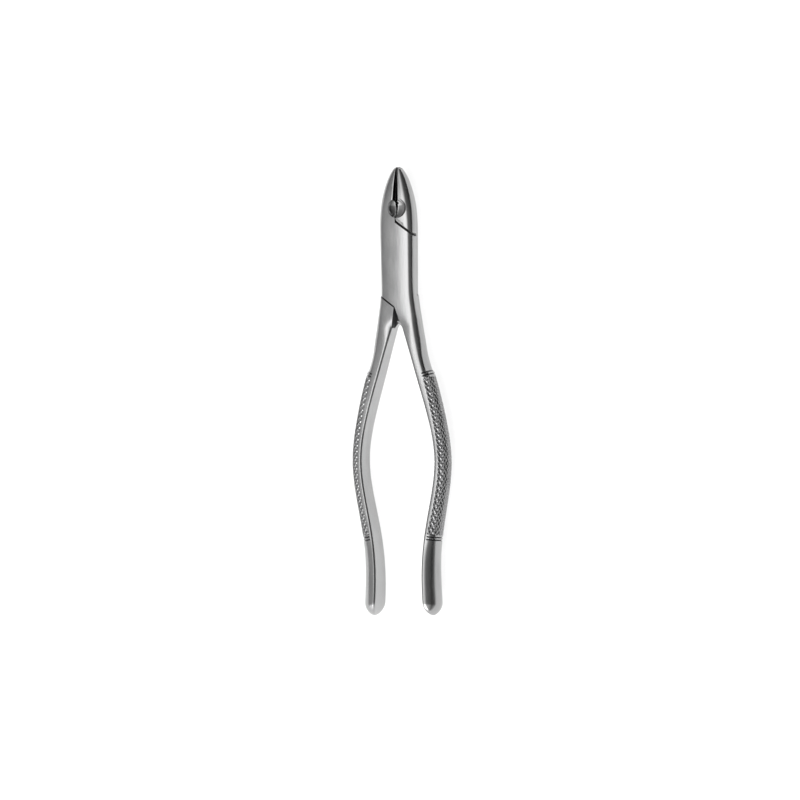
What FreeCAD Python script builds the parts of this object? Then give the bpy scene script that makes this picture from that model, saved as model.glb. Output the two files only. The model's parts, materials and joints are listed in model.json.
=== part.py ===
"""Extraction forceps: two forged halves crossing in a lap joint on one screw.

The working frame of every piece has the pivot axis on Z, the beaks towards +Y,
and the plane where the two laps meet at Z = 0. A half is drawn once, as the one
whose lap lies in front: its beak is on the left, its handle on the right. The
other half is the same forging turned half a turn about the long axis.
"""
import FreeCAD
import Part
import Sketcher
import os

Vector = FreeCAD.Vector
X_AXIS = -1
START = 1
END = 2

DIMENSIONS = {
    # lap joint
    "lap_thickness": 4.2,
    "lap_clearance": 0.04,
    "seam_reach": 17.0,
    "seam_slope": 0.74,
    "seam_gap": 0.28,
    "flat_top": 20.0,
    "flat_foot": 20.0,
    # space between the two beaks
    "parting_gap": 0.18,
    "throat_gap": 0.5,
    "tip_gap": 0.33,
    "parting_top": 20.6,
    "throat_top": 23.0,
    # crotch, where the shanks leave the joint
    "crotch_corner": 1.1,
    "crotch_edge": 2.2,
    "crotch_reach": 24.6,
    "crotch_slope": 0.354,
    # hollow inside the beaks: a round end at the throat, tapering to the tip
    "gouge_centre": 25.0,
    "gouge_height": 0.6,
    "gouge_radius": 2.1,
    "gouge_length": 12.5,
    "gouge_tilt": 0.0,
    # scoop ground into the front of the throat, tapering towards the pivot
    "scoop_centre": 22.3,
    "scoop_height": 4.3,
    "scoop_radius": 3.5,
    "scoop_length": 12.0,
    "scoop_tilt": 5.5,
    # pivot screw
    "screw_radius": 2.0,
    "screw_depth": 3.0,
    "screw_clearance": 0.04,
    "head_radius": 3.2,
    "head_height": 1.5,
    "slot_width": 0.8,
    "slot_depth": 0.7,
    # how far the outlines of the cuts run past the steel
    "past_tip": 41.0,
    "past_side": 9.5,
    "past_crotch": 22.0,
    "past_face": 8.0,
}
SECTION_KEYS = ("reach", "inner", "outer", "depth", "inner_round", "outer_round")

# Sections of the handle, from inside the joint to its end: distance below the
# pivot, flat inner side, crown of the outer side, depth along the pivot axis,
# and the rounding of the inner and the outer corners.
HANDLE_SECTIONS = {
    "root": (9.0, -3.2, 6.3, 8.2, 0.7, 2.2),
    "shank": (24.6, 2.1, 9.1, 8.4, 0.7, 2.8),
    "ring_top": (43.4, 7.8, 13.9, 9.5, 0.7, 3.2),
    "upper_grip": (60.0, 12.6, 18.2, 10.0, 0.7, 3.3),
    "belly": (76.0, 15.05, 19.85, 10.0, 0.7, 3.3),
    "lower_grip": (92.0, 13.2, 18.2, 10.5, 0.7, 3.3),
    "waist": (108.0, 10.35, 15.45, 11.3, 0.7, 3.3),
    "tail": (123.0, 9.45, 14.95, 12.3, 0.7, 3.4),
    "end": (133.0, 9.9, 16.0, 12.7, 0.7, 3.5),
}
# The rounded end of the handle, in the same terms.
END_SECTIONS = {
    "end_shoulder": (135.4, 10.4, 15.4, 10.8, 0.7, 3.1),
    "end_tip": (136.9, 12.0, 14.2, 6.2, 0.6, 1.2),
}

# Sections of the head that the two halves share: height above the pivot, left
# and right side, depth, and the rounding of the corners.
HEAD_SECTIONS = {
    "block_foot": (-21.0, -7.8, 7.8, 8.4, 2.2, 2.2),
    "block_lower": (-14.0, -6.8, 6.8, 8.5, 2.2, 2.2),
    "block_low": (-7.0, -6.5, 6.5, 8.5, 2.2, 2.2),
    "block_middle": (0.0, -6.55, 6.55, 8.5, 2.2, 2.2),
    "block_high": (7.0, -6.65, 6.65, 8.5, 2.2, 2.2),
    "block_top": (14.0, -6.75, 6.75, 8.5, 2.2, 2.2),
    "beak_root": (21.0, -6.55, 6.55, 8.3, 2.3, 2.3),
    "beak_mid": (27.5, -5.6, 5.6, 7.6, 2.4, 2.4),
    "beak_high": (32.5, -4.4, 4.4, 6.2, 2.3, 2.3),
    "beak_neck": (36.0, -2.85, 2.85, 4.5, 1.9, 1.9),
    "tip": (38.3, -1.2, 1.2, 2.6, 0.9, 0.9),
}


def make_sheet(doc):
    """Put every driving dimension in the spreadsheet, one alias each."""
    sheet = doc.addObject("Spreadsheet::Sheet", "Sizes")
    cells = dict(DIMENSIONS)
    for table in (HANDLE_SECTIONS, END_SECTIONS, HEAD_SECTIONS):
        for name, values in table.items():
            for key, value in zip(SECTION_KEYS, values):
                cells[f"{name}_{key}"] = value
    for row, (alias, value) in enumerate(cells.items(), start=1):
        sheet.set(f"A{row}", alias)
        sheet.set(f"B{row}", str(value))
        sheet.setAlias(f"B{row}", alias)
    doc.recompute()
    return sheet


def origin_plane(body, role):
    """Give the origin plane of a body with the given role."""
    return next(item for item in body.Origin.OriginFeatures if item.Role == role)


def new_sketch(body, name, role):
    """Start a sketch flat on one of the body's own origin planes."""
    sketch = body.newObject("Sketcher::SketchObject", name)
    sketch.AttachmentSupport = [(origin_plane(body, role), "")]
    sketch.MapMode = "FlatFace"
    return sketch


def bind(sketch, constraint, expression):
    """Add one constraint and bind its value to the spreadsheet."""
    index = sketch.addConstraint(constraint)
    sketch.setExpression(f"Constraints[{index}]", expression)


def corner_arc(centre_x, centre_y, radius, first, last):
    """Draw a corner arc between two angles given in quarter turns."""
    quarter = 1.5707963267948966
    circle = Part.Circle(Vector(centre_x, centre_y, 0), Vector(0, 0, 1), radius)
    return Part.ArcOfCircle(circle, first * quarter, last * quarter)


def section_sketch(body, sheet, name, side):
    """Draw one cross-section across the long axis, with four rounded corners.

    side is 1 for sections above the pivot and -1 for those below it.
    """
    sizes = {key: sheet.get(f"{name}_{key}") for key in SECTION_KEYS}
    left, right = sizes["inner"], sizes["outer"]
    half = sizes["depth"] / 2
    near, far = sizes["inner_round"], sizes["outer_round"]
    sketch = new_sketch(body, f"Section_{name}", "XZ_Plane")
    sketch.setExpression("AttachmentOffset.Base.z", f"{-side} * Sizes.{name}_reach")
    top, right_side, bottom, left_side = sketch.addGeometry([
        Part.LineSegment(Vector(left + near, half, 0), Vector(right - far, half, 0)),
        Part.LineSegment(Vector(right, half - far, 0), Vector(right, far - half, 0)),
        Part.LineSegment(Vector(right - far, -half, 0), Vector(left + near, -half, 0)),
        Part.LineSegment(Vector(left, near - half, 0), Vector(left, half - near, 0)),
    ])
    top_right, bottom_right, bottom_left, top_left = sketch.addGeometry([
        corner_arc(right - far, half - far, far, 0, 1),
        corner_arc(right - far, far - half, far, 3, 4),
        corner_arc(left + near, near - half, near, 2, 3),
        corner_arc(left + near, half - near, near, 1, 2),
    ])
    joins = [
        (top, END, top_right, END), (top_right, START, right_side, START),
        (right_side, END, bottom_right, END), (bottom_right, START, bottom, START),
        (bottom, END, bottom_left, END), (bottom_left, START, left_side, START),
        (left_side, END, top_left, END), (top_left, START, top, START),
    ]
    for join in joins:
        sketch.addConstraint(Sketcher.Constraint("Tangent", *join))
    sketch.addConstraint([
        Sketcher.Constraint("Horizontal", top),
        Sketcher.Constraint("Horizontal", bottom),
        Sketcher.Constraint("Vertical", right_side),
        Sketcher.Constraint("Symmetric", left_side, START, left_side, END, X_AXIS),
        Sketcher.Constraint("Equal", top_right, bottom_right),
        Sketcher.Constraint("Equal", top_left, bottom_left),
    ])
    bind(sketch, Sketcher.Constraint("Radius", top_left, near), f"Sizes.{name}_inner_round")
    bind(sketch, Sketcher.Constraint("Radius", top_right, far), f"Sizes.{name}_outer_round")
    bind(sketch, Sketcher.Constraint("DistanceX", -1, START, left_side, START, left),
         f"Sizes.{name}_inner")
    bind(sketch, Sketcher.Constraint("DistanceX", -1, START, right_side, START, right),
         f"Sizes.{name}_outer")
    bind(sketch, Sketcher.Constraint("DistanceY", bottom, START, top, END, 2 * half),
         f"Sizes.{name}_depth")
    return sketch


def loft_through(body, name, sketches):
    """Loft a smooth solid through cross-sections and fuse it to the body."""
    loft = body.newObject("PartDesign::AdditiveLoft", name)
    loft.Profile = sketches[0]
    loft.Sections = sketches[1:]
    loft.Ruled = False


def forge_head(body, sheet):
    """Loft the joint block and the beaks as one shape, before they are parted."""
    loft_through(body, "Head", [section_sketch(body, sheet, name, 1) for name in HEAD_SECTIONS])


def forge_handle(body, sheet):
    """Loft the shank and grip, then the rounded end on the last section."""
    grip = [section_sketch(body, sheet, name, -1) for name in HANDLE_SECTIONS]
    end = [section_sketch(body, sheet, name, -1) for name in END_SECTIONS]
    loft_through(body, "Handle", grip)
    loft_through(body, "HandleEnd", grip[-1:] + end)


def outline_sketch(body, sheet, name, role, corners):
    """Draw a closed outline on an origin plane, each corner a pair of expressions."""
    sketch = new_sketch(body, name, role)
    points = [Vector(*(sheet.evalExpression(text) for text in corner), 0) for corner in corners]
    following = points[1:] + points[:1]
    sketch.addGeometry([Part.LineSegment(a, b) for a, b in zip(points, following)])
    for index, (along_x, along_y) in enumerate(corners):
        before = (index - 1) % len(corners)
        sketch.addConstraint(Sketcher.Constraint("Coincident", before, END, index, START))
        point = points[index]
        bind(sketch, Sketcher.Constraint("DistanceX", -1, START, index, START, point.x), along_x)
        bind(sketch, Sketcher.Constraint("DistanceY", -1, START, index, START, point.y), along_y)
    return sketch


def pocket(body, name, sketch, depth, towards_front):
    """Cut a sketch away, towards the front or the back, by a bound depth."""
    cut = body.newObject("PartDesign::Pocket", name)
    cut.Profile = sketch
    cut.Type = "Length"
    cut.setExpression("Length", depth)
    cut.Reversed = towards_front
    return cut


def grind_flats(body, sheet):
    """Grind both faces of the joint block flat, to twice the lap's thickness."""
    corners = [
        ("-Sizes.past_side", "-Sizes.flat_foot"), ("Sizes.past_side", "-Sizes.flat_foot"),
        ("Sizes.past_side", "Sizes.flat_top"), ("-Sizes.past_side", "Sizes.flat_top"),
    ]
    for name, level, towards_front in (("Front", "", True), ("Back", "-", False)):
        sketch = outline_sketch(body, sheet, f"Flat{name}", "XY_Plane", corners)
        sketch.setExpression("AttachmentOffset.Base.z", f"{level}Sizes.lap_thickness")
        pocket(body, f"Grind{name}", sketch, "Sizes.past_face", towards_front)


def beak_side():
    """List the corners of the beak's inner side, from past the tip down to the lap."""
    return [
        ("-Sizes.tip_gap", "Sizes.past_tip"),
        ("-Sizes.throat_gap", "Sizes.throat_top"),
        ("-Sizes.parting_gap", "Sizes.parting_top"),
    ]


def cut_right_beak_space(body, sheet):
    """Clear the front of the right beak's space, down to the lap's upper seam."""
    seam = "Sizes.seam_reach - Sizes.seam_gap"
    corners = beak_side() + [
        ("-Sizes.parting_gap", f"{seam} + Sizes.seam_slope * Sizes.parting_gap"),
        ("Sizes.past_side", f"{seam} - Sizes.seam_slope * Sizes.past_side"),
        ("Sizes.past_side", "Sizes.past_tip"),
    ]
    sketch = outline_sketch(body, sheet, "RightBeakSpace", "XY_Plane", corners)
    pocket(body, "ClearRightBeak", sketch, "Sizes.past_face", True)


def cut_left_shank_space(body, sheet):
    """Clear the front of the left shank's space, up to the lap's lower seam."""
    rise = "(Sizes.crotch_reach - Sizes.seam_reach + Sizes.seam_gap)"
    slopes = "(1 - Sizes.crotch_slope * Sizes.seam_slope)"
    inner = f"(Sizes.crotch_edge - Sizes.crotch_slope * {rise}) / {slopes}"
    seam = "-Sizes.seam_reach + Sizes.seam_gap"
    foot = "Sizes.crotch_edge - Sizes.crotch_slope * (Sizes.crotch_reach - Sizes.past_crotch)"
    corners = [
        ("-Sizes.past_side", f"{seam} + Sizes.seam_slope * Sizes.past_side"),
        (inner, f"{seam} - Sizes.seam_slope * ({inner})"),
        (foot, "-Sizes.past_crotch"),
        ("-Sizes.past_side", "-Sizes.past_crotch"),
    ]
    sketch = outline_sketch(body, sheet, "LeftShankSpace", "XY_Plane", corners)
    pocket(body, "ClearLeftShank", sketch, "Sizes.past_face", True)


def cut_other_lap_space(body, sheet):
    """Clear everything behind the lap except the left beak and the right shank."""
    beak_seam = "Sizes.seam_reach + Sizes.seam_gap"
    shank_seam = "-Sizes.seam_reach - Sizes.seam_gap"
    corners = beak_side() + [
        ("-Sizes.parting_gap", f"{beak_seam} - Sizes.seam_slope * Sizes.parting_gap"),
        ("-Sizes.past_side", f"{beak_seam} - Sizes.seam_slope * Sizes.past_side"),
        ("-Sizes.past_side", "-Sizes.crotch_reach"),
        ("Sizes.crotch_edge", "-Sizes.crotch_reach"),
        ("Sizes.crotch_corner", f"{shank_seam} + Sizes.seam_slope * Sizes.crotch_corner"),
        ("Sizes.past_side", f"{shank_seam} + Sizes.seam_slope * Sizes.past_side"),
        ("Sizes.past_side", "Sizes.past_tip"),
    ]
    sketch = outline_sketch(body, sheet, "OtherLapSpace", "XY_Plane", corners)
    sketch.setExpression("AttachmentOffset.Base.z", "Sizes.lap_clearance")
    pocket(body, "ClearOtherLap", sketch, "Sizes.past_face", False)


def cut_teardrop(body, sheet, name, face, upward):
    """Grind a teardrop hollow: a ball of the given radius drawn out to a point.

    face is 1 when the hollow lies towards this half's own front and -1 when it
    lies towards its back; upward is 1 when the point aims at the beak's tip.
    """
    radius = sheet.get(f"{name}_radius")
    length = sheet.get(f"{name}_length")
    sketch = new_sketch(body, f"Profile_{name}", "YZ_Plane")
    sketch.setExpression("AttachmentOffset.Base.x", f"Sizes.{name}_centre")
    sketch.setExpression("AttachmentOffset.Base.y", f"{face} * Sizes.{name}_height")
    aim = 0 if upward > 0 else 180
    sketch.setExpression("AttachmentOffset.Rotation.Angle",
                         f"{aim} + {face * upward} * Sizes.{name}_tilt")
    lean = radius / length
    touch = Vector(radius * lean, radius * (1 - lean * lean) ** 0.5, 0)
    point = Vector(length, 0, 0)
    back = Vector(-radius, 0, 0)
    ball = Part.Arc(touch, Vector(0, radius, 0), back)
    arc, flank, spine = sketch.addGeometry([
        ball, Part.LineSegment(touch, point), Part.LineSegment(point, back),
    ])
    sketch.addConstraint([
        Sketcher.Constraint("Tangent", arc, START, flank, START),
        Sketcher.Constraint("Coincident", flank, END, spine, START),
        Sketcher.Constraint("Coincident", spine, END, arc, END),
        Sketcher.Constraint("Coincident", arc, 3, -1, START),
        Sketcher.Constraint("PointOnObject", spine, START, X_AXIS),
        Sketcher.Constraint("PointOnObject", spine, END, X_AXIS),
    ])
    bind(sketch, Sketcher.Constraint("Radius", arc, radius), f"Sizes.{name}_radius")
    bind(sketch, Sketcher.Constraint("DistanceX", -1, START, spine, START, length),
         f"Sizes.{name}_length")
    groove = body.newObject("PartDesign::Groove", f"Cut_{name}")
    groove.Profile = sketch
    groove.ReferenceAxis = (sketch, ["H_Axis"])
    groove.Angle = 360


def round_hole(body, name, radius, level, depth):
    """Bore a round hole on the pivot axis from a level towards the front face."""
    sketch = new_sketch(body, f"Circle_{name}", "XY_Plane")
    sketch.setExpression("AttachmentOffset.Base.z", level)
    circle = sketch.addGeometry(Part.Circle(Vector(0, 0, 0), Vector(0, 0, 1), 1.0))
    sketch.addConstraint(Sketcher.Constraint("Coincident", circle, 3, -1, START))
    bind(sketch, Sketcher.Constraint("Radius", circle, 1.0), radius)
    pocket(body, name, sketch, depth, True)


def make_half(doc, sheet, name, face):
    """Make one half in the pose where its lap lies in front.

    face is 1 for the half that stays so and -1 for the one that is turned over.
    """
    body = doc.addObject("PartDesign::Body", name)
    body.Label = name
    forge_head(body, sheet)
    forge_handle(body, sheet)
    grind_flats(body, sheet)
    cut_right_beak_space(body, sheet)
    cut_left_shank_space(body, sheet)
    cut_other_lap_space(body, sheet)
    cut_teardrop(body, sheet, "gouge", face, 1)
    cut_teardrop(body, sheet, "scoop", face, -1)
    return body


def make_front_half(doc, sheet):
    """Make the half with the left beak and the right handle, tapped for the screw."""
    body = make_half(doc, sheet, "front_half", 1)
    round_hole(body, "TappedHole", "Sizes.screw_radius", "0", "Sizes.screw_depth")
    body.Placement = FreeCAD.Placement(Vector(0, 0, sheet.lap_thickness), FreeCAD.Rotation())
    return body


def make_back_half(doc, sheet):
    """Make the half with the right beak, bored through for the screw and its head."""
    body = make_half(doc, sheet, "back_half", -1)
    round_hole(body, "ScrewHole", "Sizes.screw_radius + Sizes.screw_clearance",
               "0", "Sizes.past_face")
    round_hole(body, "HeadHole", "Sizes.head_radius + Sizes.screw_clearance",
               "Sizes.lap_thickness - Sizes.head_height - Sizes.screw_clearance",
               "Sizes.past_face")
    turned = FreeCAD.Rotation(Vector(0, 1, 0), 180)
    body.Placement = FreeCAD.Placement(Vector(0, 0, sheet.lap_thickness), turned)
    return body


def make_joint_screw(doc, sheet):
    """Make the pivot screw: a turned head and shank, with a slot across the head."""
    body = doc.addObject("PartDesign::Body", "joint_screw")
    body.Label = "joint_screw"
    under = "Sizes.head_height - Sizes.lap_thickness"
    corners = [
        ("0", "-Sizes.lap_thickness"),
        ("Sizes.head_radius", "-Sizes.lap_thickness"),
        ("Sizes.head_radius", under),
        ("Sizes.screw_radius", under),
        ("Sizes.screw_radius", "Sizes.screw_depth"),
        ("0", "Sizes.screw_depth"),
    ]
    profile = outline_sketch(body, sheet, "ScrewProfile", "XZ_Plane", corners)
    turned = body.newObject("PartDesign::Revolution", "TurnedScrew")
    turned.Profile = profile
    turned.ReferenceAxis = (profile, ["V_Axis"])
    turned.Angle = 360
    half = "Sizes.slot_width / 2"
    reach = "Sizes.past_side"
    slot = outline_sketch(body, sheet, "SlotOutline", "XY_Plane", [
        (f"-{reach}", f"-{half}"), (reach, f"-{half}"), (reach, half), (f"-{reach}", half),
    ])
    slot.setExpression("AttachmentOffset.Base.z", "Sizes.slot_depth - Sizes.lap_thickness")
    pocket(body, "Slot", slot, "Sizes.past_face", False)
    body.Placement = FreeCAD.Placement(Vector(0, 0, sheet.lap_thickness), FreeCAD.Rotation())
    return body


def check(doc, pieces):
    """Stop if any object failed or any piece is not one valid solid."""
    for item in doc.Objects:
        failed = {"Invalid", "Error"} & set(item.State)
        if failed:
            raise RuntimeError(f"{item.Label}: {failed}")
    for piece in pieces:
        shape = piece.Shape
        if shape.isNull() or not shape.isValid() or len(shape.Solids) != 1:
            raise RuntimeError(f"{piece.Label} is not one valid solid")
        print(f"{piece.Label}: {shape.Volume:.0f} mm3")


def main():
    """Build the three pieces, check them and write one STEP file each."""
    doc = FreeCAD.newDocument("ExtractionForceps")
    sheet = make_sheet(doc)
    pieces = [
        make_front_half(doc, sheet),
        make_back_half(doc, sheet),
        make_joint_screw(doc, sheet),
    ]
    doc.recompute()
    check(doc, pieces)
    os.makedirs("parts", exist_ok=True)
    for piece in pieces:
        piece.Shape.exportStep(f"parts/{piece.Label}.step")


main()
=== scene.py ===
"""Visual model of the extraction forceps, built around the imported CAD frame.

Shapes are worked out in millimetres in the frame of one half: pivot axis on Z,
beak tips towards +Y, laps meeting at Z = 0, this half's lap in front, its beak on
the left and its handle on the right. The other half is the same shape turned half
a turn about the long axis.
"""
import json
import math

import bmesh
import bpy
import numpy as np
from mathutils import Matrix, Vector

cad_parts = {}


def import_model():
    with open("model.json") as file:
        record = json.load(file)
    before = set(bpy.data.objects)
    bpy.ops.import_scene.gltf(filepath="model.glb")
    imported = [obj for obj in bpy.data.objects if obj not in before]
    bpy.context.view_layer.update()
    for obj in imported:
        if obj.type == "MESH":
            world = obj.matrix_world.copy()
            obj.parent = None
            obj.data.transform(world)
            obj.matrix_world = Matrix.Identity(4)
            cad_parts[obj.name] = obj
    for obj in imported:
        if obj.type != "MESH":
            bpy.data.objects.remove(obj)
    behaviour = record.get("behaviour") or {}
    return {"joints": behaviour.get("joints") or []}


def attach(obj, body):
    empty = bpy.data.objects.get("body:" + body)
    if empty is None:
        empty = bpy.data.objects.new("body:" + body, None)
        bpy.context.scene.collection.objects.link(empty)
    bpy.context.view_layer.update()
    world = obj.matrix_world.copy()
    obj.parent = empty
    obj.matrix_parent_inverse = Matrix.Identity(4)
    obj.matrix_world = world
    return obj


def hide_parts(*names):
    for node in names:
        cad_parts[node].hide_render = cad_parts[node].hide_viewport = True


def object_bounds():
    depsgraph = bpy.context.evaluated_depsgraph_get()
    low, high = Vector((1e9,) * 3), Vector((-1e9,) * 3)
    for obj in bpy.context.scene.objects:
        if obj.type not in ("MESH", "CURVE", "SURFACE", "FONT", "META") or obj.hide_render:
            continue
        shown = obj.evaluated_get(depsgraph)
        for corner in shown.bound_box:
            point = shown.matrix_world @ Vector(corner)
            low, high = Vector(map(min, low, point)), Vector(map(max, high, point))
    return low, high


MM = 0.001

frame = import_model()
cad_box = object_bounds()
PIVOT = frame["joints"][0]["pos_m"]
LAP_LEVEL = PIVOT[2] / MM

# Cross-sections: distance along the forceps from the pivot, left side, right side,
# depth, rounding of the left corners, rounding of the right corners.
HEAD = [
    (-17.0, -7.3, 7.8, 8.4, 2.2, 2.4),
    (-12.0, -6.9, 7.2, 8.4, 2.2, 2.3),
    (-7.0, -6.85, 6.95, 8.4, 2.2, 2.2),
    (0.0, -6.95, 6.95, 8.4, 2.2, 2.2),
    (7.0, -7.05, 7.05, 8.4, 2.3, 2.3),
    (14.0, -7.15, 7.15, 8.4, 2.5, 2.5),
    (21.0, -7.0, 7.0, 8.3, 2.9, 2.9),
    (27.5, -6.0, 6.0, 7.6, 3.0, 3.0),
    (32.5, -4.5, 4.5, 6.2, 2.6, 2.6),
    (36.0, -2.85, 2.85, 4.5, 1.9, 1.9),
    (38.3, -1.2, 1.2, 2.6, 0.9, 0.9),
]
HANDLE = [
    (-136.9, 10.1, 16.1, 12.8, 0.8, 5.0),
    (-123.0, 9.45, 15.45, 12.3, 0.8, 5.0),
    (-108.0, 10.35, 15.95, 11.3, 0.8, 4.4),
    (-92.0, 13.2, 18.5, 10.5, 0.8, 3.4),
    (-76.0, 15.05, 20.15, 10.0, 0.8, 3.4),
    (-60.0, 12.6, 18.1, 10.0, 0.8, 3.4),
    (-43.4, 7.8, 14.0, 9.5, 0.8, 3.3),
    (-34.0, 5.0, 11.2, 8.8, 0.8, 3.1),
    (-24.6, 2.1, 9.2, 8.4, 0.8, 2.8),
    (-17.0, -0.4, 7.8, 8.4, 0.8, 2.4),
]

# Where the head's sections give way to the handle's, and where the handle's D shape
# comes in. The meshes of head and handle meet at JOIN.
BLEND_TOP = -16.2
BLEND_FOOT = -24.6
D_SHAPE_TOP = -20.0
D_SHAPE_LENGTH = 16.0
D_SHAPE_POWER = 0.35
JOIN = -26.0

# Rounding of the beak tips and handle ends: length and two powers, and the share of
# the width that the handle's sections shrink towards.
TIP_CLOSING = 0.9
TIP_POWERS = (2.0, 0.5)
END_CLOSING = 5.2
END_POWERS = (1.9, 0.64)
END_HEART = 0.36

# How far the broad faces fall away towards the outer edge, as a share of the depth,
# and where each share comes in or goes: its start and over what length.
HEAD_CROWN = 0.10
SHANK_CROWN = 0.08
SHANK_CROWN_TOP = (-18.0, 10.0)
SHANK_CROWN_FOOT = (-50.0, 12.0)
TAIL_CROWN = 0.10
TAIL_CROWN_TOP = (-100.0, 14.0)
TAIL_TILT = 0.13
TAIL_TILT_TOP = (-104.0, 10.0)

# Grip on the outer faces of the handles.
RINGS_TOP = (-42.4, -43.5)
RINGS_FOOT = (-106.2, -107.3)
RING_WIDTH = 0.56
RING_DEPTH = 0.45
GRIP_TOP = -44.2
GRIP_FOOT = -105.5
DIAMOND_LENGTH = 2.3
DIAMOND_DEPTH = 0.36
DIAMOND_STEPS = 10
DIAMOND_POWER = 1.4
GRIP_FADE = 0.5

# Step from the grip's first ring down to the slimmer shank.
SHOULDER_DEPTH = 0.5
SHOULDER_TOP = -29.0
SHOULDER_LENGTH = 10.0
SHOULDER_FOOT = -42.3
SHOULDER_STEP = 0.4
SHOULDER_COLUMNS = 22.0

# The joint in the plane of the laps: the slit between the beaks, the edges of this
# half's lap, and the wider space in which the other half's lap turns.
OUTSIDE = 9.5
PAST_TIP = 41.0
PAST_FACE = 8.0
LAP_GAP = 0.04
SLIT = [(-0.33, PAST_TIP), (-0.5, 23.0), (-0.18, 20.6)]
UPPER_EDGE = [(-0.18, 16.5), (OUTSIDE, 9.34)]
LOWER_EDGE = [(-OUTSIDE, -9.69), (-0.80, -16.13), (1.28, -22.0), (-OUTSIDE, -22.0)]
BACK_SEAM_EXTRA = 0.2

# Slope above the upper seam, seen on the front of the right beak.
SHOULDER_SLOPE = [
    (0.3, 16.3, -4.9), (0.3, 20.1, -4.9), (0.3, 16.3, -3.2),
    (-7.6, 10.7, -4.9), (-7.6, 13.2, -4.9), (-7.6, 10.7, -3.5),
]

# Round scoop in the front of the throat, and the hollow inside the beaks.
SCOOP_CENTRE = (0.7, 22.2, 6.2)
SCOOP_RADIUS = 4.4
SCOOP_LENGTH = 6.0
SCOOP_MARGIN = 0.05
GOUGE_PLACE = 25.0
GOUGE_LEVEL = 0.6
GOUGE_RADIUS = 2.1
GOUGE_LENGTH = 12.5

# Slopes along the inner edges of the beaks: widths at the throat and at the tip,
# then depths there.
MOUTH = (1.5, 0.5, 2.6, 1.1)
LIP = (2.0, 0.8, 0.26, 0.12)
MOUTH_FOOT = 20.4
MOUTH_TOP = 39.5

# Joint screw.
SCREW_RADIUS = 2.0
SCREW_HEAD_RADIUS = 3.2
SCREW_SEAT = 2.66
SCREW_PLAY = 0.04
SLOT_HALF = 0.4
SLOT_FLOOR = -3.44

# How far under the outer surface a seam's wall starts to get the painted shade, the steepest
# slope that counts as a wall, and the spacing of the sections it is judged by.
SKIN = 0.12
WALL_SLOPE = 0.6
SECTION_STEP = 0.25

# Edges that turn by more than this are drawn sharp.
SHARP_EDGE = math.radians(32.0)

# Points round one cross-section.
SIDE_STEPS = 18
BAND_STEPS = 8
CROWN_STEPS = 40


def smooth(value):
    """Rise smoothly from 0 to 1 as the value goes from 0 to 1."""
    value = np.clip(value, 0.0, 1.0)
    return value * value * (3.0 - 2.0 * value)


def beyond(place, start, length):
    """Rise smoothly from 0 to 1 over a length past start, towards the handle ends."""
    return smooth((start - place) / length)


def before(place, start, length):
    """Rise smoothly from 0 to 1 over a length past start, towards the beak tips."""
    return smooth((place - start) / length)


def natural_spline(rows, column):
    """Give a function that runs smoothly through one column of a table of sections."""
    x = np.array([row[0] for row in rows], float)
    y = np.array([row[column] for row in rows], float)
    count = len(x)
    step = np.diff(x)
    system = np.eye(count)
    right = np.zeros(count)
    for i in range(1, count - 1):
        system[i, i - 1] = step[i - 1]
        system[i, i] = 2 * (step[i - 1] + step[i])
        system[i, i + 1] = step[i]
        right[i] = 6 * ((y[i + 1] - y[i]) / step[i] - (y[i] - y[i - 1]) / step[i - 1])
    bend = np.linalg.solve(system, right)

    def at(where):
        i = int(np.clip(np.searchsorted(x, where) - 1, 0, count - 2))
        ahead = x[i + 1] - where
        behind = where - x[i]
        size = step[i]
        return float(
            (bend[i] * ahead ** 3 + bend[i + 1] * behind ** 3) / (6 * size)
            + (y[i] / size - bend[i] * size / 6) * ahead
            + (y[i + 1] / size - bend[i + 1] * size / 6) * behind
        )

    return at


HEAD_AT = [natural_spline(HEAD, column) for column in range(1, 6)]
HANDLE_AT = [natural_spline(HANDLE, column) for column in range(1, 6)]


def section_sizes(along):
    """Give left, right, half depth and the two roundings at one distance."""
    head = [at(max(along, HEAD[0][0])) for at in HEAD_AT]
    handle = [at(min(along, HANDLE[-1][0])) for at in HANDLE_AT]
    to_handle = float(beyond(along, BLEND_TOP, BLEND_TOP - BLEND_FOOT))
    _, right, depth, _, far = head if along > HEAD[0][0] else handle
    left = head[0] + (handle[0] - head[0]) * to_handle
    near = head[3] + (handle[3] - head[3]) * to_handle
    return left, right, depth / 2, near, far


def corner(across, deep, power, half, steps):
    """Give the points of one side, from its middle to where its corner ends.

    The corner is a rounded quarter, as wide as across and as deep as deep; the
    points run evenly along it. Distances are from the corner's inner end.
    """
    turn = np.linspace(0.0, math.pi / 2, 121)
    x = across * np.cos(turn) ** (2 / power)
    z = half - deep + deep * np.sin(turn) ** (2 / power)
    x = np.concatenate([[across], x])
    z = np.concatenate([[0.0], z])
    run = np.concatenate([[0.0], np.cumsum(np.hypot(np.diff(x), np.diff(z)))])
    wanted = np.linspace(0.0, run[-1], steps + 1)
    return np.interp(wanted, run, x), np.interp(wanted, run, z)


def front_crown(along):
    """Give how far the broad faces fall away from their ridge to the outer edge."""
    shank = float(beyond(along, *SHANK_CROWN_TOP) * before(along, *SHANK_CROWN_FOOT))
    tail = float(beyond(along, *TAIL_CROWN_TOP))
    return HEAD_CROWN + SHANK_CROWN * shank + TAIL_CROWN * tail


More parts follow.
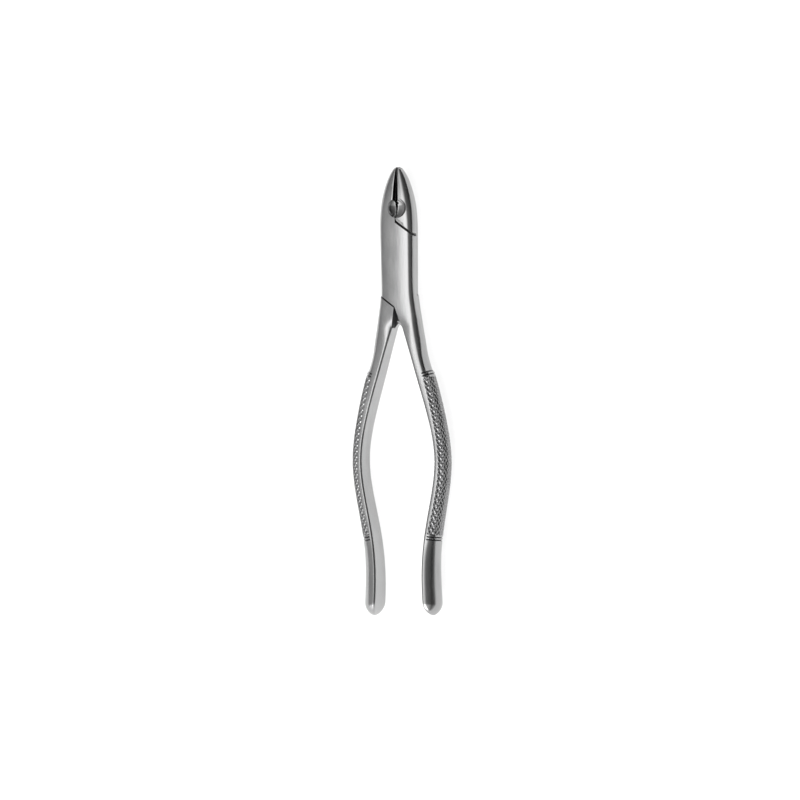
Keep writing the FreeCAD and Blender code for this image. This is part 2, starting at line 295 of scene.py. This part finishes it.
def outline(along):
    """Give the points of one cross-section and how far each is on the outer crown."""
    left, right, half, near, far = section_sizes(along)
    handle_share = float(beyond(along, D_SHAPE_TOP, D_SHAPE_LENGTH))
    far_deep = far + (half - far) * handle_share
    power = 2.0 + D_SHAPE_POWER * handle_share
    near = min(near, half * 0.9, (right - left) * 0.45)
    far = min(far, (right - left) - near - 0.1)
    far_deep = min(far_deep, half * 0.999)
    side_x, side_z = corner(near, min(near, half * 0.95), 2.0, half, SIDE_STEPS)
    crown_x, crown_z = corner(far, far_deep, power, half, CROWN_STEPS)
    band_x = np.linspace(left + near, right - far, BAND_STEPS + 1)[1:-1]
    x = np.concatenate([left + near - side_x, band_x, (right - far + crown_x)[::-1]])
    z = np.concatenate([side_z, np.full(len(band_x), half), crown_z[::-1]])
    ridge = (left + right) / 2 + ((left + near) - (left + right) / 2) * handle_share
    out = np.abs(x - ridge) / (right - ridge)
    tilt = TAIL_TILT * float(beyond(along, *TAIL_TILT_TOP))
    z = z * (1.0 - front_crown(along) * out ** 2 - tilt * out)
    crown = np.concatenate([np.zeros(len(side_x) + len(band_x)), np.ones(len(crown_x))])
    x = np.concatenate([x, x[-2:0:-1]])
    z = np.concatenate([z, -z[-2:0:-1]])
    crown = np.concatenate([crown, crown[-2:0:-1]])
    return x, z, crown


def closing(along):
    """Give how much a section shrinks towards the rounded tip and handle end."""
    if along > HEAD[-1][0] - TIP_CLOSING:
        reach = (along - HEAD[-1][0] + TIP_CLOSING) / TIP_CLOSING
        return max(1.0 - reach ** TIP_POWERS[0], 0.0) ** TIP_POWERS[1]
    if along < HANDLE[0][0] + END_CLOSING:
        reach = (HANDLE[0][0] + END_CLOSING - along) / END_CLOSING
        return max(1.0 - reach ** END_POWERS[0], 0.0) ** END_POWERS[1]
    return 1.0


def grip_depth(along, x, columns, middle, lean):
    """Give how deep each point is cut by rings and diamonds, and by the shank's step."""
    place = along + lean * (x - middle)
    depth = np.zeros(len(x))
    for centre in RINGS_TOP + RINGS_FOOT:
        reach = np.abs(place - centre) / (RING_WIDTH / 2)
        depth = np.maximum(depth, RING_DEPTH * np.clip(1.0 - reach ** 2, 0.0, 1.0))
    lengthwise = (GRIP_TOP - place) / DIAMOND_LENGTH
    crosswise = columns / DIAMOND_STEPS
    one = np.abs((lengthwise + crosswise) % 1.0 - 0.5) * 2.0
    two = np.abs((lengthwise - crosswise) % 1.0 - 0.5) * 2.0
    groove = 1.0 - np.maximum(one, two) ** DIAMOND_POWER
    shown = beyond(place, GRIP_TOP, GRIP_FADE) * before(place, GRIP_FOOT, GRIP_FADE)
    depth = (depth + DIAMOND_DEPTH * groove * shown) * smooth((columns + 0.5) / 2.0)
    shoulder = before(place, SHOULDER_FOOT, SHOULDER_STEP)
    shoulder = shoulder * beyond(place, SHOULDER_TOP, SHOULDER_LENGTH)
    return depth, SHOULDER_DEPTH * shoulder * smooth(columns / SHOULDER_COLUMNS)


def distances():
    """Give where the rings of points lie, from the beak tips to the handle ends."""
    tip = HEAD[-1][0]
    end = HANDLE[0][0]
    rise = np.linspace(0.04, 1.0, 10)
    places = [tip - TIP_CLOSING * (1.0 - np.cos(rise * math.pi / 2))]
    places.append(np.arange(tip - TIP_CLOSING - 0.3, JOIN + 0.2, -0.45))
    places.append(np.arange(JOIN, RINGS_TOP[0] + 1.4, -0.5))
    places.append(np.arange(RINGS_TOP[0] + 1.3, GRIP_TOP - 1.0, -0.1))
    places.append(np.arange(GRIP_TOP - 1.0, GRIP_FOOT + 1.0, -DIAMOND_LENGTH / DIAMOND_STEPS))
    places.append(np.arange(GRIP_FOOT + 0.95, RINGS_FOOT[1] - 1.2, -0.1))
    places.append(np.arange(RINGS_FOOT[1] - 1.5, end + END_CLOSING + 0.2, -0.6))
    fall = np.linspace(0.0, 0.97, 16)
    places.append(end + END_CLOSING * (1.0 - np.sin(fall * math.pi / 2)))
    return np.concatenate(places)


def rings():
    """Give every ring of points of a half, and how much each point lies in a groove."""
    count = len(outline(0.0)[0])
    top = SIDE_STEPS + BAND_STEPS
    order = np.arange(count)
    back_columns = top + 2 * CROWN_STEPS - order
    columns = np.where(order <= top + CROWN_STEPS, order - top, back_columns)
    rows = []
    depths = []
    for along in distances():
        x, z, crown = outline(along)
        left, right = section_sizes(along)[:2]
        middle = (left + right) / 2
        depth = np.zeros(count)
        if along < JOIN:
            ahead = sum(section_sizes(along + 0.5)[:2]) / 2
            behind = sum(section_sizes(along - 0.5)[:2]) / 2
            depth, step = grip_depth(along, x, columns, middle, ahead - behind)
            depth = depth * crown
            sink = depth + step * crown
            across = np.roll(x, -1) - np.roll(x, 1)
            deep = np.roll(z, -1) - np.roll(z, 1)
            size = np.hypot(across, deep)
            x = x + sink * deep / size
            z = z - sink * across / size
        shrink = closing(along)
        heart = middle if along > JOIN else left + (right - left) * END_HEART
        x = heart + (x - heart) * shrink
        z = z * shrink
        rows.append(np.stack([x, np.full(count, along), z], axis=1))
        depths.append(depth)
    return np.array(rows), np.array(depths)


# ---------------------------------------------------------------- mesh work


def new_piece(name, points, faces):
    """Make an object from points in millimetres."""
    mesh = bpy.data.meshes.new(name)
    mesh.from_pydata([tuple(point) for point in points], [], faces)
    piece = bpy.data.objects.new(name, mesh)
    bpy.context.scene.collection.objects.link(piece)
    return piece


def outward(piece):
    """Turn every face of a closed mesh outwards."""
    work = bmesh.new()
    work.from_mesh(piece.data)
    bmesh.ops.recalc_face_normals(work, faces=work.faces)
    work.to_mesh(piece.data)
    work.free()
    return piece


def tube(name, rows):
    """Skin rows of points into a closed tube with a fan at each end."""
    count = rows.shape[1]
    points = [tuple(point) for row in rows for point in row]
    faces = []
    for i in range(len(rows) - 1):
        for k in range(count):
            here = i * count + k
            over = i * count + (k + 1) % count
            faces.append((here, over, over + count, here + count))
    for row, index in ((0, 0), (-1, (len(rows) - 1) * count)):
        points.append(tuple(rows[row].mean(axis=0)))
        hub = len(points) - 1
        for k in range(count):
            faces.append((index + k, index + (k + 1) % count, hub))
    return outward(new_piece(name, points, faces))


def prism(name, corners, low, high):
    """Make a prism along Z over corners in the plane of the laps."""
    count = len(corners)
    points = [(x, y, low) for x, y in corners] + [(x, y, high) for x, y in corners]
    faces = [tuple(range(count)), tuple(range(count, 2 * count))]
    for k in range(count):
        after = (k + 1) % count
        faces.append((k, after, after + count, k + count))
    return outward(new_piece(name, points, faces))


def wedge(name, corners):
    """Make a three-sided bar from its three corners at one end and at the other."""
    faces = [(0, 1, 2), (3, 4, 5), (0, 1, 4, 3), (1, 2, 5, 4), (2, 0, 3, 5)]
    return outward(new_piece(name, corners, faces))


def turned(name, profile, start, direction, steps=72):
    """Turn a profile of (distance along, radius) about an axis square to X."""
    axis = Vector(direction).normalized()
    side = Vector((1.0, 0.0, 0.0))
    third = axis.cross(side)
    points = []
    for along, radius in profile:
        for k in range(steps):
            turn = 2 * math.pi * k / steps
            spoke = side * math.cos(turn) + third * math.sin(turn)
            points.append(tuple(Vector(start) + axis * along + spoke * radius))
    faces = []
    last = (len(profile) - 1) * steps
    for here in range(0, last, steps):
        over = here + steps
        for k in range(steps):
            after = (k + 1) % steps
            faces.append((here + k, here + after, over + after, over + k))
    faces.append(tuple(range(steps)))
    faces.append(tuple(range(last, last + steps)))
    return outward(new_piece(name, points, faces))


def teardrop(name, centre, radius, length, direction):
    """Make a ball drawn out to a point."""
    touch = math.acos(-radius / length)
    pole = math.radians(2.0)
    profile = []
    for k in range(24):
        turn = pole + (touch - pole) * k / 23
        profile.append((-radius * math.cos(turn), radius * math.sin(turn)))
    along, width = profile[-1]
    for k in range(1, 13):
        share = k / 12 * 0.998
        profile.append((along + (length - along) * share, width * (1.0 - share)))
    return turned(name, profile, centre, direction)


def bore(name, low, high, radius):
    """Make a round cutter on the pivot axis."""
    return turned(name, [(low, radius), (high, radius)], (0.0, 0.0, 0.0), (0.0, 0.0, 1.0))


def vee(name, face, throat_width, tip_width, throat_depth, tip_depth):
    """Make a cutter that slopes the beak's inner edge, narrower towards the tip."""
    above = 0.6
    past = 0.3
    rows = []
    for along in np.linspace(MOUTH_FOOT, MOUTH_TOP, 40):
        share = (along - MOUTH_FOOT) / (HEAD[-1][0] - MOUTH_FOOT)
        width = throat_width + (tip_width - throat_width) * share
        depth = throat_depth + (tip_depth - throat_depth) * share
        level = section_sizes(min(along, HEAD[-1][0]))[2]
        slope = depth / width
        rows.append([
            (-width - above / slope, along, (level + above) * face),
            (past, along, (level + above) * face),
            (past, along, (level - depth - past * slope) * face),
        ])
    return tube(name, np.array(rows))


def cut(piece, cutters):
    """Take each cutter away from a piece, and remove the cutters."""
    for cutter in cutters:
        step = piece.modifiers.new(cutter.name, "BOOLEAN")
        step.operation = "DIFFERENCE"
        step.solver = "EXACT"
        step.object = cutter
    bpy.context.view_layer.update()
    graph = bpy.context.evaluated_depsgraph_get()
    mesh = bpy.data.meshes.new_from_object(piece.evaluated_get(graph))
    piece.modifiers.clear()
    piece.data = mesh
    for cutter in cutters:
        bpy.data.objects.remove(cutter)


def scoop_centre(face):
    """Give the scoop's centre in the frame of one half."""
    x, y, z = SCOOP_CENTRE
    return Vector((x * face, y, z * face))


def head_cutters(face):
    """Make everything that is cut from one half's head; face is 1 for the front half."""
    extra = BACK_SEAM_EXTRA if face < 0 else 0.0
    other_lap = SLIT + [
        (-0.18, 17.15 + extra), (-OUTSIDE, 10.25 + extra), (-OUTSIDE, BLEND_FOOT),
        (2.2, BLEND_FOOT), (1.1, -16.47 - extra), (OUTSIDE, -10.25 - extra),
        (OUTSIDE, PAST_TIP),
    ]
    right_beak = SLIT + UPPER_EDGE + [(OUTSIDE, PAST_TIP)]
    scoop_way = (0.0, -0.93, 0.37 * face)
    gouge_start = (0.0, GOUGE_PLACE, GOUGE_LEVEL * face)
    cutters = [
        prism("right_beak_space", right_beak, 0.0, PAST_FACE),
        prism("left_shank_space", LOWER_EDGE, 0.0, PAST_FACE),
        prism("other_lap_space", other_lap, -PAST_FACE, LAP_GAP),
        teardrop("throat_scoop", scoop_centre(face), SCOOP_RADIUS, SCOOP_LENGTH, scoop_way),
        teardrop("beak_gouge", gouge_start, GOUGE_RADIUS, GOUGE_LENGTH, (0.0, 1.0, 0.0)),
        vee("beak_mouth", face, *MOUTH),
    ]
    if face > 0:
        cutters.append(bore("screw_bore", -1.0, 3.0, SCREW_RADIUS + SCREW_PLAY))
        cutters.append(vee("beak_lip", face, *LIP))
    else:
        head_radius = SCREW_HEAD_RADIUS + SCREW_PLAY
        cutters.append(bore("screw_head_bore", SCREW_SEAT, 5.0, head_radius))
        cutters.append(bore("screw_bore", -1.0, 5.0, SCREW_RADIUS + SCREW_PLAY))
        cutters.append(wedge("shoulder_slope", SHOULDER_SLOPE))
    return cutters


def make_half(name, face, to_frame):
    """Build one half and put it in its place in the frame."""
    rows, depths = rings()
    head_end = int(np.argmin(np.abs(rows[:, 0, 1] - JOIN)))
    head = tube(name, rows[:head_end + 1])
    cut(head, head_cutters(face))
    handle = tube(f"{name}_handle", rows[head_end:])
    work = bmesh.new()
    work.from_mesh(head.data)
    work.from_mesh(handle.data)
    level = rows[head_end, 0, 1]

    def at_join(vertex):
        return abs(vertex.co.y - level) < 1e-4

    cap = [f for f in work.faces if all(at_join(v) for v in f.verts)]
    bmesh.ops.delete(work, geom=cap, context="FACES")
    loose = [v for v in work.verts if not v.link_faces]
    bmesh.ops.delete(work, geom=loose, context="VERTS")
    seam = [v for v in work.verts if at_join(v)]
    bmesh.ops.remove_doubles(work, verts=seam, dist=0.01)
    bmesh.ops.recalc_face_normals(work, faces=work.faces)
    work.to_mesh(head.data)
    work.free()
    bpy.data.objects.remove(handle)
    add_groove_depths(head.data, rows, depths)
    paint_seam_shade(head.data, face)
    finish_piece(head, to_frame)
    return head


def paint_seam_shade(mesh, face):
    """Give the walls of the seams and between the beaks the second material, which paints
    shade on them.
    """
    scoop = scoop_centre(face)
    front_points = SIDE_STEPS + BAND_STEPS + CROWN_STEPS + 1
    fronts = {}
    for polygon in mesh.polygons:
        centre = polygon.center
        if centre.y < BLEND_FOOT - 0.5:
            continue
        place = round(centre.y / SECTION_STEP) * SECTION_STEP
        if place not in fronts:
            x, z = outline(place)[:2]
            fronts[place] = (x[:front_points], z[:front_points])
        front_x, front_z = fronts[place]
        level = min(
            float(np.interp(centre.x - SKIN, front_x, front_z, left=0.0, right=0.0)),
            float(np.interp(centre.x + SKIN, front_x, front_z, left=0.0, right=0.0)),
        )
        buried = abs(centre.z) < level - SKIN
        upright = abs(polygon.normal.z) < WALL_SLOPE
        if buried and upright and (centre - scoop).length > SCOOP_RADIUS + SCOOP_MARGIN:
            polygon.material_index = 1


def add_groove_depths(mesh, rows, depths):
    """Store on each point how deep in a groove it lies, for the material's painted shade and
    roughness.
    """
    known = {}
    for row, line in zip(rows, depths):
        if line.max() > 0.0:
            for point, depth in zip(row, line):
                known[tuple(np.round(point, 3))] = depth
    layer = mesh.attributes.new("groove", "FLOAT", "POINT")
    for vertex in mesh.vertices:
        depth = known.get(tuple(round(value, 3) for value in vertex.co), 0.0)
        layer.data[vertex.index].value = min(depth / DIAMOND_DEPTH, 1.0)


def finish_piece(piece, to_frame):
    """Take a piece from its own frame in millimetres to the CAD frame in metres."""
    piece.data.transform(Matrix.Scale(MM, 4) @ to_frame)
    for polygon in piece.data.polygons:
        polygon.use_smooth = True
    piece.data.set_sharp_from_angle(angle=SHARP_EDGE)


def make_screw(to_frame):
    """Build the joint screw: a shank, and a slotted head with a chamfered rim."""
    profile = [
        (-4.14, 2.9), (-4.14, 3.0), (-3.94, SCREW_HEAD_RADIUS), (-2.80, SCREW_HEAD_RADIUS),
        (-2.72, 3.12), (-2.70, 2.05), (-2.62, SCREW_RADIUS), (2.75, SCREW_RADIUS), (2.95, 1.8),
    ]
    screw = turned("screw", profile, (0.0, 0.0, 0.0), (0.0, 0.0, 1.0))
    slot = [(-4.0, -SLOT_HALF), (4.0, -SLOT_HALF), (4.0, SLOT_HALF), (-4.0, SLOT_HALF)]
    cut(screw, [prism("screw_slot", slot, -5.0, SLOT_FLOOR)])
    finish_piece(screw, to_frame)
    return screw


# ---------------------------------------------------------------- materials


def steel(name, base, rough, lines):
    """Make bare steel: fine grinding lines along the piece, soft stains, and painted shade in
    the grooves.
    """
    material = bpy.data.materials.new(name)
    material.use_nodes = True
    nodes = material.node_tree.nodes
    links = material.node_tree.links
    shader = nodes["Principled BSDF"]
    shader.inputs["Metallic"].default_value = 1.0
    place = nodes.new("ShaderNodeTexCoord")

    def noise(scale, detail, stretch):
        mapping = nodes.new("ShaderNodeMapping")
        mapping.inputs["Scale"].default_value = stretch
        texture = nodes.new("ShaderNodeTexNoise")
        texture.inputs["Scale"].default_value = scale
        texture.inputs["Detail"].default_value = detail
        links.new(place.outputs["Object"], mapping.inputs["Vector"])
        links.new(mapping.outputs["Vector"], texture.inputs["Vector"])
        return texture.outputs["Fac"]

    def between(value, low, high, low_value, high_value):
        spread = nodes.new("ShaderNodeMapRange")
        spread.inputs["From Min"].default_value = low
        spread.inputs["From Max"].default_value = high
        spread.inputs["To Min"].default_value = low_value
        spread.inputs["To Max"].default_value = high_value
        links.new(value, spread.inputs["Value"])
        return spread.outputs["Result"]

    cloud = noise(260.0, 3.0, (1.0, 0.35, 1.0))
    scratch = noise(2600.0, 4.0, (1.0, 0.06, 1.0))
    groove = nodes.new("ShaderNodeAttribute")
    groove.attribute_name = "groove"

    tone = nodes.new("ShaderNodeValToRGB")
    tone.color_ramp.elements[0].position = 0.3
    tone.color_ramp.elements[0].color = (base * 0.90, base * 0.90, base * 0.905, 1.0)
    tone.color_ramp.elements[1].position = 0.7
    tone.color_ramp.elements[1].color = (base * 1.05, base * 1.05, base * 1.05, 1.0)
    links.new(cloud, tone.inputs["Fac"])
    # Painted shade: the colour is darkened by groove depth, down to this dark grey at the
    # bottom of the grip's diamonds and rings.
    shade = nodes.new("ShaderNodeMix")
    shade.data_type = "RGBA"
    shade.blend_type = "MULTIPLY"
    shade.inputs[7].default_value = (0.30, 0.30, 0.31, 1.0)
    links.new(groove.outputs["Fac"], shade.inputs[0])
    links.new(tone.outputs["Color"], shade.inputs[6])
    links.new(shade.outputs[2], shader.inputs["Base Color"])

    roughness = nodes.new("ShaderNodeMath")
    roughness.operation = "ADD"
    links.new(between(cloud, 0.3, 0.7, rough - 0.03, rough + 0.04), roughness.inputs[0])
    links.new(between(groove.outputs["Fac"], 0.0, 1.0, 0.0, 0.12), roughness.inputs[1])
    links.new(roughness.outputs["Value"], shader.inputs["Roughness"])

    bump = nodes.new("ShaderNodeBump")
    bump.inputs["Strength"].default_value = lines
    bump.inputs["Distance"].default_value = 0.00002
    links.new(scratch, bump.inputs["Height"])
    links.new(bump.outputs["Normal"], shader.inputs["Normal"])
    return material


def plain(name, colour):
    """Make a matt pale surface for the floor."""
    material = bpy.data.materials.new(name)
    material.use_nodes = True
    shader = material.node_tree.nodes["Principled BSDF"]
    shader.inputs["Base Color"].default_value = (colour, colour, colour, 1.0)
    shader.inputs["Roughness"].default_value = 1.0
    shader.inputs["Specular IOR Level"].default_value = 0.0
    return material


# ---------------------------------------------------------------- the object

to_front = Matrix.Translation((0.0, 0.0, LAP_LEVEL))
to_back = to_front @ Matrix.Rotation(math.pi, 4, "Y")

forged = steel("forged_steel_look", 0.37, 0.20, 0.45)
# Near-black steel on the walls of the seams and between the beaks: painted shade.
seam_shade_look = steel("painted_seam_shade", 0.035, 0.40, 0.25)
turned_steel = steel("turned_steel_look", 0.34, 0.20, 0.15)

left_beak_half = make_half("half_front", 1, to_front)
right_beak_half = make_half("half_back", -1, to_back)
screw = make_screw(to_front)

for piece, body, node, slot, look in (
    (left_beak_half, "front_lever", "front_half", "forged_steel", forged),
    (right_beak_half, "back_lever", "back_half", "forged_steel", forged),
    (screw, "front_lever", "joint_screw", "turned_steel", turned_steel),
):
    piece.data.materials.append(look)
    if piece is not screw:
        piece.data.materials.append(seam_shade_look)
    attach(piece, body)
    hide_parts(node)


# ---------------------------------------------------------------- floor and light

FLOOR_HALF = 3.0
FLOOR_GAP = 0.0002
FLOOR_TONE = 0.86
floor_level = cad_box[0][2] - FLOOR_GAP
floor_mesh = bpy.data.meshes.new("floor")
floor_mesh.from_pydata(
    [(x, y, floor_level) for x, y in (
        (-FLOOR_HALF, -FLOOR_HALF), (FLOOR_HALF, -FLOOR_HALF),
        (FLOOR_HALF, FLOOR_HALF), (-FLOOR_HALF, FLOOR_HALF),
    )],
    [], [(0, 1, 2, 3)],
)
floor = bpy.data.objects.new("floor", floor_mesh)
bpy.context.scene.collection.objects.link(floor)
floor.data.materials.append(plain("floor_look", FLOOR_TONE))

# Studio light by direction across the forceps, in degrees from straight above
# towards +X, as a row of pale and dark panels that run along the forceps.
PANELS = [
    (-90, 0.55), (-60, 0.56), (-40, 0.60), (-29, 0.64), (-22, 0.72), (-18, 1.0),
    (-13, 3.4), (-9, 2.3), (-2, 1.8), (6, 1.2), (12, 0.6), (20, 0.30), (35, 0.24),
    (52, 0.18), (68, 0.05), (80, 0.12), (90, 0.45),
]
# How the panels brighten towards the handle ends and dim towards the beak tips, by
# the lengthwise part of the direction.
LENGTHWISE = [(-1.0, 3.0), (-0.5, 3.0), (-0.25, 1.0), (0.08, 1.0), (0.40, 0.62), (1.0, 0.5)]
# How much of the panels' light reaches matt surfaces; the lamp lights the floor.
DIFFUSE_SHARE = 0.25
LAMP_STRENGTH = 3.2
LAMP_SPREAD = math.radians(60.0)


def studio():
    """Light the scene with the panels, and show the camera a plain pale backdrop."""
    world = bpy.data.worlds.new("studio")
    bpy.context.scene.world = world
    world.use_nodes = True
    nodes = world.node_tree.nodes
    links = world.node_tree.links
    place = nodes.new("ShaderNodeTexCoord")
    parts = nodes.new("ShaderNodeSeparateXYZ")
    links.new(place.outputs["Generated"], parts.inputs["Vector"])

    def math_node(operation, first, second):
        node = nodes.new("ShaderNodeMath")
        node.operation = operation
        for socket, value in zip(node.inputs, (first, second)):
            if isinstance(value, float):
                socket.default_value = value
            else:
                links.new(value, socket)
        return node.outputs["Value"]

    def by_place(value, rows):
        """Give the level of a row of (place, level) at a value, places rising."""
        first = rows[0][0]
        last = rows[-1][0]
        top = max(level for place, level in rows)
        spread = nodes.new("ShaderNodeMapRange")
        spread.inputs["From Min"].default_value = first
        spread.inputs["From Max"].default_value = last
        links.new(value, spread.inputs["Value"])
        ramp = nodes.new("ShaderNodeValToRGB")
        ramp.color_ramp.interpolation = "EASE"
        elements = ramp.color_ramp.elements
        while len(elements) < len(rows):
            elements.new(0.5)
        for element, (place, level) in zip(elements, rows):
            element.position = (place - first) / (last - first)
            element.color = (level / top, level / top, level / top, 1.0)
        links.new(spread.outputs["Result"], ramp.inputs["Fac"])
        return math_node("MULTIPLY", ramp.outputs["Color"], top)

    angle = math_node("ARCTAN2", parts.outputs["X"], parts.outputs["Z"])
    degrees = math_node("MULTIPLY", angle, 180.0 / math.pi)
    rays = nodes.new("ShaderNodeLightPath")
    lengthwise = by_place(parts.outputs["Y"], LENGTHWISE)
    level = math_node("MULTIPLY", by_place(degrees, PANELS), lengthwise)
    diffuse = by_place(rays.outputs["Is Diffuse Ray"], [(0.0, 1.0), (1.0, DIFFUSE_SHARE)])
    light = nodes["Background"]
    light.inputs["Color"].default_value = (1.0, 1.0, 1.0, 1.0)
    links.new(math_node("MULTIPLY", level, diffuse), light.inputs["Strength"])
    backdrop = nodes.new("ShaderNodeBackground")
    backdrop.inputs["Color"].default_value = (1.0, 1.0, 1.0, 1.0)
    mix = nodes.new("ShaderNodeMixShader")
    links.new(rays.outputs["Is Camera Ray"], mix.inputs["Fac"])
    links.new(light.outputs["Background"], mix.inputs[1])
    links.new(backdrop.outputs["Background"], mix.inputs[2])
    links.new(mix.outputs["Shader"], nodes["World Output"].inputs["Surface"])


def floor_lamp():
    """Add an even, shadowless light from overhead that lifts the floor to white."""
    light = bpy.data.lights.new("overhead", "SUN")
    light.energy = LAMP_STRENGTH
    light.angle = LAMP_SPREAD
    light.use_shadow = False
    lamp = bpy.data.objects.new("overhead", light)
    lamp.visible_glossy = False
    bpy.context.scene.collection.objects.link(lamp)


studio()
floor_lamp()
bpy.context.scene.view_settings.view_transform = "Standard"


# ---------------------------------------------------------------- camera

VIEW_TURN = math.radians(20.5)
VIEW_ROLL = math.radians(0.75)
VIEW_DISTANCE = 2.5
VIEW_LENS = 288.0
AIM_RIGHT = -0.000234
AIM_DOWN = 0.05273

# Where the camera is from the forceps, and its right and up before it is rolled.
toward = Vector((math.sin(VIEW_TURN), 0.0, math.cos(VIEW_TURN)))
level_right = Vector((math.cos(VIEW_TURN), 0.0, -math.sin(VIEW_TURN)))
level_up = Vector((0.0, 1.0, 0.0))
up = level_up * math.cos(VIEW_ROLL) + level_right * math.sin(VIEW_ROLL)
right = level_right * math.cos(VIEW_ROLL) - level_up * math.sin(VIEW_ROLL)
target = Vector(PIVOT) - right * AIM_RIGHT - up * AIM_DOWN
camera_data = bpy.data.cameras.new("camera")
camera_data.lens = VIEW_LENS
camera_data.sensor_width = 36.0
camera_data.clip_start = 0.01
camera = bpy.data.objects.new("camera", camera_data)
camera.matrix_world = Matrix.Translation(target + toward * VIEW_DISTANCE) @ Matrix((
    (right.x, up.x, toward.x), (right.y, up.y, toward.y), (right.z, up.z, toward.z),
)).to_4x4()
bpy.context.scene.collection.objects.link(camera)
bpy.context.scene.camera = camera
